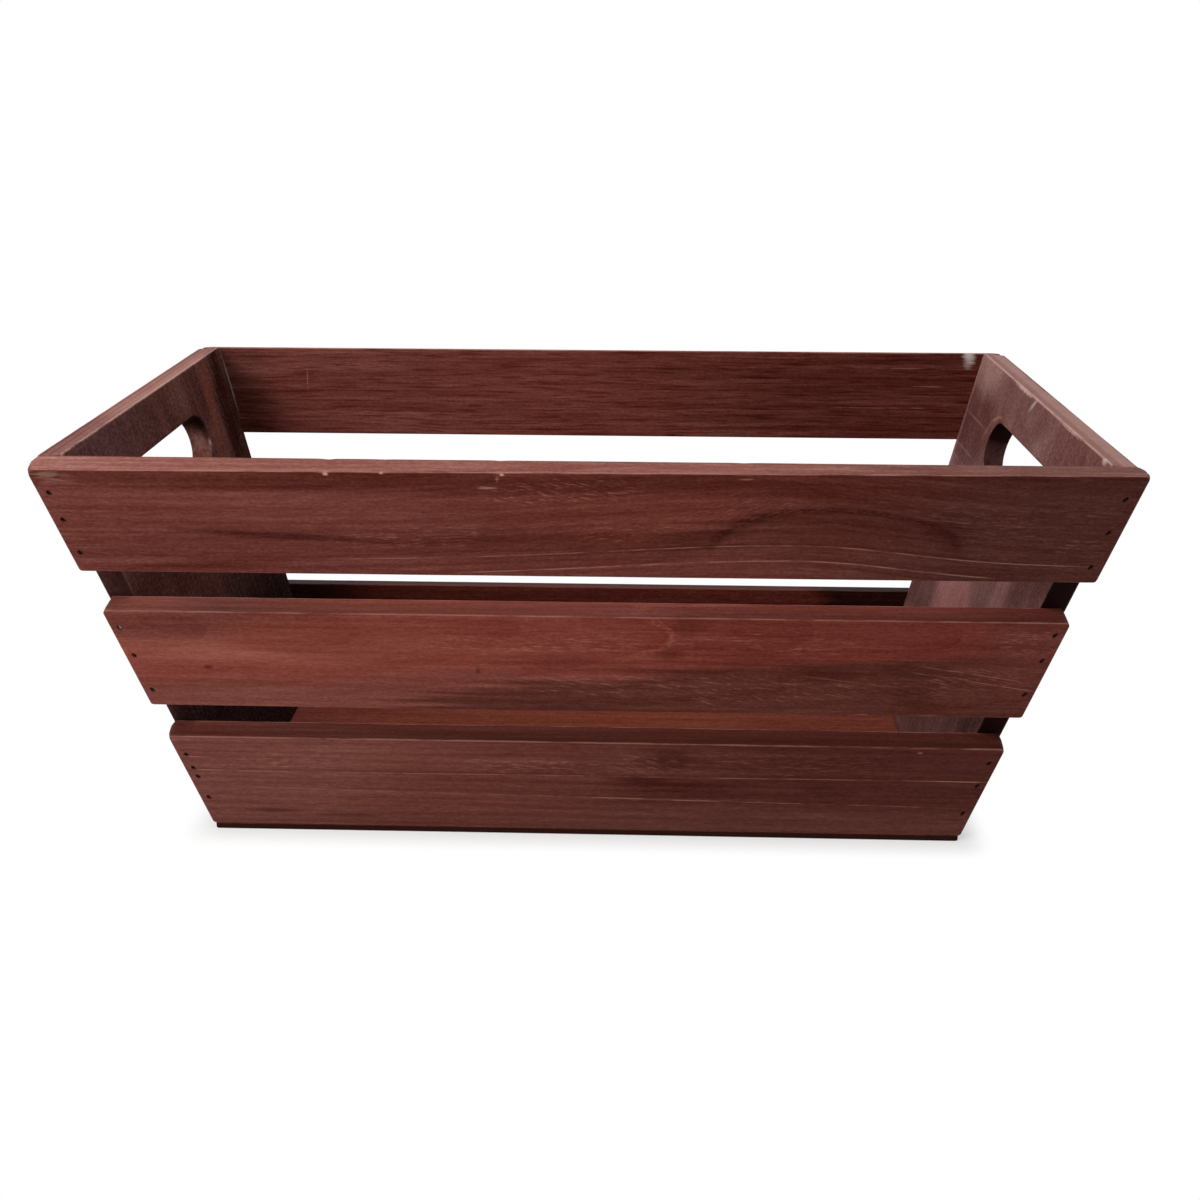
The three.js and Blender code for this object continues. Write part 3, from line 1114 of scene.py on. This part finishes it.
GRAINS["back_slat_top"] = Grain(
    seed=4, fibres=0.85, face=SLAT_INSIDE, ring=4, red="6b3b34", brown="63332c", upper=0.2, gloss=0.03,
    streaks=0.6, dark_lines=0.26,
    patches=[
        Patch(0, -24, 90, 200, "66342c", 0.7, 0.5),
        Patch(-190, -24, 130, 200, "4f241e", 0.9, 0.5),
        # this and the next: painted shadow of the left end panel on this slat's inside, near the joint
        Patch(218, -24, 26, 200, "5a332c", 0.8, 0.5),
        Patch(205, -38, 20, 20, "3c1c16", 0.6, 0.7),
    ],
    scuffs=[
        Scuff(167.7, -17, 0.5, 7, 0.3),
        Scuff(-210.3, 0.5, 4, 9, 0.75, "c8bdb7", 0, 0.8, 4),
        Scuff(213.4, -19, 0.9, 20, 0.8, "8f7e78", 0.26, 0.8),
        Scuff(-172, -8.6, 12, 0.35, 0.3),
        Scuff(-188, -18.7, 8, 0.35, 0.3),
        Scuff(-160, -31, 40, 0.35, 0.25),
    ],
)

# its dark tones are painted shade inside the crate; its outer face gets them too
GRAINS["back_slat_middle"] = Grain(
    seed=5, pith_v=-60, pith_depth=50, pith_slope=-0.05, red="4c251f", brown="46211b", wear=0.1,
)

GRAINS["back_slat_bottom"] = Grain(
    seed=6, face=SLAT_INSIDE, pith_v=-250, pith_depth=40, red="52231b", brown="4b2019", wear=0.1,
    patches=[
        # near black at both ends: painted shade in the corners by the end panels
        Patch(-166, -140, 34, 60, "1c0b08", 0.9, 0.3),
        Patch(178, -140, 34, 60, "1c0b08", 0.9),
    ],
)

GRAINS["end_panel_left"] = Grain(
    seed=7, face=END_INSIDE, upright=True, pith_v=-60, pith_depth=45, pith_slope=0.06, red="6e4641",
    brown="5e3a34", upper=0.0, gloss=0.0, streaks=0.2, fibres=0.45, speckle=0.8, clouds=0.3,
    rubbed="b28a80", hole_dirt_and_shade=0.04,
    patches=[
        Patch(85, -10, 60, 30, "6a4745", 0.8),
        Patch(-31, -10, 12, 10, "7a5146", 0.45, 0.8),
        Patch(-59, -14, 10, 14, "4a2821", 0.65, 0.8),
        # painted light: a lit streak down the inside near the back
        Patch(-70, -24, 5.5, 30, "7e4638", 0.75, 0.6, 0, 0.4, -0.4),
        Patch(-91, -30, 10, 45, "2c130e", 0.85, 0.55, 0, 0.6, -0.25),
        Patch(-101, -48, 10, 34, "2e1510", 0.7, 0.5, 0, 0.6, -0.25),
        # this and the next two: the inside darker lower down and at the front, painted shade
        Patch(60, -90, 90, 34, "57352f", 0.9, 0.5),
        Patch(-45, -122, 60, 24, "412b28", 0.9, 0.5),
        Patch(0, -178, 300, 54, "2c1d1f", 0.9, 0.2),
        Patch(-30, 1.2, 95, 1.8, "906a64", 0.9, 0.3),
        Patch(95, 1.2, 45, 1.8, "7a5550", 0.9, 0.4),
    ],
    scuffs=[
        Scuff(-20, 0, 110, 0.9, 0.5, "b8948c", 0, 0.8, 1, w=-11.2),
        # painted shadow on the upper part of the hand slot's end wall
        Scuff(-47.5, -30, 5, 8, 0.8, "1e0d0a", 0, 0.6, 5, w=-9),
        Scuff(90.5, -2.2, 2.5, 1, 0.35, "84625a"),
        Scuff(79, -2, 2.5, 1, 0.3, "84625a"),
        Scuff(76, -7.5, 2, 2, 0.3, "7d5a50"),
        Scuff(101, -66, 3, 1.2, 0.4, "7d5f5a", 0, 1.0, 5, w=-5.7),
        # the next three: painted light and shade on the hand slot's end wall, a lit lower part, a
        # shadowed upper part and a highlight on its inner edge
        Scuff(-50, -40, 3, 8, 0.4, "8a625c", 0, 1.5, 5, w=-5.5),
        Scuff(-50, -35, 4, 7, 0.6, "1e0d0a", 0, 0.5, 2.5, w=-10),
        Scuff(-50, -41, 1.2, 4, 0.6, "b08c86", 0, 1.5, w=-11.2),
    ],
    stripes=[Stripe(-1.5, 2.6, 0.2), Stripe(-5.5, 1.4, 0.15)],
)

GRAINS["end_panel_right"] = Grain(
    seed=8, face=END_INSIDE, upright=True, pith_v=-110, pith_depth=60, pith_slope=-0.05, red="77544f",
    brown="6c4946", upper=0.0, streaks=0.2, fibres=0.45, speckle=0.6, clouds=0.4, wear=0.45,
    rubbed="b5948c", end_grain=1.0, hole_dirt_and_shade=0.75,
    patches=[
        Patch(-90, -20, 50, 60, "66403e", 0.8),
        Patch(82, -34, 46, 20, "5b3734", 0.9, 0.4),
        Patch(88, -46, 34, 14, "523030", 0.7, 0.5),
        Patch(5, -12, 44, 15, "6b4845", 0.8, 0.7),
        Patch(105, -33, 2.2, 45, "8a605b", 0.5, 0.6, 0, 0.4, 0.177),
        Patch(92, -5, 28, 11, "94716b", 0.8, 0.8),
        Patch(-24, -19, 5, 4, "8a6661", 0.4, 0.7),
        Patch(-83, -8, 3.5, 3, "5a302b", 0.5, 0.7),
        Patch(16, -115, 36, 25, "92605b", 0.8, 0.35),
        Patch(-50, -84, 9, 24, "966b67", 0.8),
        Patch(58, -131, 20, 22, "583533", 0.85, 0.5),
        Patch(86, -122, 14, 25, "50281f", 0.8, 0.4),
        Patch(0, -168, 200, 20, "6c4644", 0.7, 0.4),
        # painted shade: the inside low down near the front is darkened
        Patch(-85, -140, 30, 18, "4c302e", 0.85, 0.5),
        Patch(0, 1.2, 200, 1.8, "916d66", 0.9, 0.3),
    ],
    rims=[Rim(38.5, -36, 20.5, 15.5, 1.3, "a06c5c", 0.6, 25, -38)],
    scuffs=[
        Scuff(23, -1, 17, 0.9, 0.7, "c0a49c"),
        Scuff(3, -3.5, 2.2, 4.5, 0.6, "b9a29c", -0.8),
        Scuff(-55, -1, 18, 0.6, 0.5, "bb9c94"),
        Scuff(-105, -1, 3, 2, 0.7, "b9a29c"),
        Scuff(81, -32, 32, 0.9, 0.3, "946862"),
        Scuff(85, -50, 27, 0.9, 0.3, "946862"),
        Scuff(96, -57, 16, 0.7, 0.3, "946862"),
    ],
    stripes=[Stripe(-0.3, 1, 0.5), Stripe(-8.8, 2.6, 0.2)],
)

GRAINS["base_panel"] = Grain(
    seed=9, pith_v=0, pith_depth=80, red="6d372a", brown="66332a", wear=0, dark_sides=0.9,
    patches=[
        Patch(20, 0, 130, 300, "733a2b", 0.7, 0.5),
        Patch(150, 0, 60, 300, "693429", 0.8, 0.5),
    ],
)

# Bruises on edges, and corners and ends that are out of true
FINISHES = {
    "front_slat_top": {
        "chips": [
            Chip(-104.5, 0, 2.2, 0.9),
            Chip(-81.5, 0, 1.6, 0.5),
            Chip(-32.5, 0, 1.8, 0.7),
            Chip(68, 0, 3, 0.5),
        ],
        "rounds": (CORNER_ROUND, CORNER_ROUND, CORNER_ROUND, 2.5 * MM),
        "warps": ((0, -0.6 * MM), (1.2 * MM, 0), (1.8 * MM, 1.7 * MM), (-0.4 * MM, -0.6 * MM)),
        "swells": (2.7 * MM, 2.7 * MM),
    },
    "front_slat_middle": {
        "chips": [
            Chip(125, -120, 3, 0.6),
            Chip(156, -120, 3, 0.6),
        ],
        "swells": (0.4 * MM, 0.3 * MM),
    },
    "front_slat_bottom": {"swells": (2 * MM, 0.8 * MM)},
}


# Boards of the crate
def hand_slot():
    y = (PANEL_TOP - RIM_HEIGHT) / math.cos(END_FLARE) - SLOT_DROP - SLOT_HEIGHT / 2
    steps = (SLOT_ARC_STEPS, SLOT_SIDE_STEPS)
    return Opening(Vector((0, y)), SLOT_LENGTH, SLOT_HEIGHT, 0, SLOT_ROUND, RUBBED, FACE_INSETS, *steps)


def make_boards():
    boards = []
    for side in ("front", "back"):
        for row in SLAT_WIDTHS:
            node = f"{side}_slat_{row}"
            outline = slat_outline(row)
            holes = nail_holes(side, f"nail_{side}_{row}_")
            finish = FINISHES.get(node, {})
            boards.append(Board(node, side, "slats", outline, SLAT_THICKNESS, SLAT_EASE, holes, **finish))
    for end in ("left", "right"):
        node = f"end_panel_{end}"
        boards.append(Board(node, end, "ends", panel_outline, END_THICKNESS, END_EASE, [hand_slot()]))
    holes = nail_holes("under", "nail_base_")
    boards.append(Board("base_panel", "under", "base", base_outline, BASE_THICKNESS, BASE_EASE, holes))
    return boards


for board in make_boards():
    material = bpy.data.materials.new(board.node + "_wood")
    Wood(material, GRAINS[board.node]).finish()
    add_board(board, material)

# Nails, all of them dull but one
BRIGHT_NAIL = "nail_front_middle_left_1"
dull_steel = steel("nail_steel", 20, dull="1a0a08", bright="2a1410", metal=0.1, rough=0.75)
bright_steel = steel("nail_steel_bright", 21, dull="7c8288", bright="b4bac0", metal=0.8, rough=0.5)
for name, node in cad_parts.items():
    if name.startswith("nail_"):
        node.data.materials.clear()
        node.data.materials.append(bright_steel if name == BRIGHT_NAIL else dull_steel)


# Camera at the photograph's angle
CAMERA_PLACE = Vector((24.04, -655.47, 349.48)) * MM
CAMERA_PITCH = math.radians(21.945)
CAMERA_YAW = math.radians(1.696)
CAMERA_ROLL = math.radians(-0.129)
CAMERA_FOCUS = 1352.62  # in pixels of the 1200 pixel frame
FRAME_PIXELS = 1200
SENSOR = 36.0
NEAR_CLIP = 0.01


def make_camera():
    data = bpy.data.cameras.new("camera")
    data.sensor_width = SENSOR
    data.lens = CAMERA_FOCUS / FRAME_PIXELS * SENSOR
    data.clip_start = NEAR_CLIP
    camera = bpy.data.objects.new("camera", data)
    tilt = Matrix.Rotation(math.pi / 2 - CAMERA_PITCH, 4, "X")
    turn = Matrix.Rotation(CAMERA_YAW, 4, "Z")
    roll = Matrix.Rotation(-CAMERA_ROLL, 4, "Z")
    camera.matrix_world = Matrix.Translation(CAMERA_PLACE) @ turn @ tilt @ roll
    bpy.context.scene.collection.objects.link(camera)
    bpy.context.scene.camera = camera


make_camera()


# Light, floor and backdrop
WHITE = (1.0, 1.0, 1.0, 1.0)
PAPER = (0.9, 0.9, 0.9, 1.0)
SKY = (0.95, 0.97, 1.0, 1.0)
SKY_LIGHT = 0.25
WARM = (1.0, 0.99, 0.97)
WARMER = (1.0, 0.98, 0.96)
FLOOR_GLOW = 0.5  # share of plain white that the camera sees in the floor right beside the crate
SHADOW_REACH = 18 * MM  # the crate's shadow shows on the floor up to here
FLOOR_HALF = 4.0
FLOOR_DROP = 0.2 * MM


def add_lamp(name, place, aim, size, watts, tint):
    data = bpy.data.lights.new(name, "AREA")
    data.shape = "RECTANGLE"
    data.size, data.size_y = size
    data.energy = watts
    data.color = tint
    lamp = bpy.data.objects.new(name, data)
    lamp.visible_camera = False
    turn = (Vector(aim) - Vector(place)).to_track_quat("-Z", "Y")
    lamp.matrix_world = Matrix.Translation(place) @ turn.to_matrix().to_4x4()
    bpy.context.scene.collection.objects.link(lamp)


add_lamp("top", place=(-0.3, -0.1, 1.8), aim=(0, 0, 0.1), size=(1.0, 1.0), watts=22, tint=WARM)
add_lamp("key", place=(-1.2, -1.2, 1.2), aim=(0, 0, 0.1), size=(0.8, 0.8), watts=24, tint=WARM)
add_lamp("side", place=(1.7, -0.3, 0.4), aim=(-0.2, 0, 0.16), size=(0.4, 0.4), watts=3, tint=WARMER)


def seen_directly(shade):
    """1 for rays that show the background itself, in view or in a reflection."""
    path = shade.node("ShaderNodeLightPath")
    seen = path.outputs["Is Camera Ray"]
    for kind in ("Is Glossy Ray", "Is Transmission Ray"):
        seen = shade.math("MAXIMUM", seen, path.outputs[kind])
    return seen


def make_world():
    world = bpy.data.worlds.new("studio")
    shade = Shade(world)
    soft = shade.node("ShaderNodeBackground", {"Color": SKY, "Strength": SKY_LIGHT})
    white = shade.node("ShaderNodeBackground", {"Color": WHITE, "Strength": 1.0})
    inputs = {0: seen_directly(shade), 1: soft.outputs[0], 2: white.outputs[0]}
    mix = shade.node("ShaderNodeMixShader", inputs)
    shade.node("ShaderNodeOutputWorld", {"Surface": mix.outputs[0]})
    bpy.context.scene.world = world


def floor_material():
    material = bpy.data.materials.new("floor_paper")
    shade = Shade(material)
    paper = shade.node("ShaderNodeBsdfDiffuse", {"Color": PAPER})
    glow = shade.node("ShaderNodeEmission", {"Color": WHITE, "Strength": 1.0})
    texture = shade.node("ShaderNodeTexCoord")
    x, y, _ = shade.split(texture.outputs["Object"])
    beside = shade.math("MAXIMUM", abs(x) - half_length(0), 0)
    before = shade.math("MAXIMUM", abs(y) - half_width(0), 0)
    far = shade.step(length(beside, before), 0, SHADOW_REACH)
    share = seen_directly(shade) * (far * (1 - FLOOR_GLOW) + FLOOR_GLOW)
    mix = shade.node("ShaderNodeMixShader", {0: share, 1: paper.outputs[0], 2: glow.outputs[0]})
    shade.node("ShaderNodeOutputMaterial", {"Surface": mix.outputs[0]})
    return material


def make_floor():
    corners = [(-1, -1), (1, -1), (1, 1), (-1, 1)]
    data = bpy.data.meshes.new("floor")
    points = [(x * FLOOR_HALF, y * FLOOR_HALF, -FLOOR_DROP) for x, y in corners]
    data.from_pydata(points, [], [(0, 1, 2, 3)])
    data.materials.append(floor_material())
    floor = bpy.data.objects.new("floor", data)
    bpy.context.scene.collection.objects.link(floor)


make_world()
make_floor()
bpy.context.scene.view_settings.view_transform = "Standard"
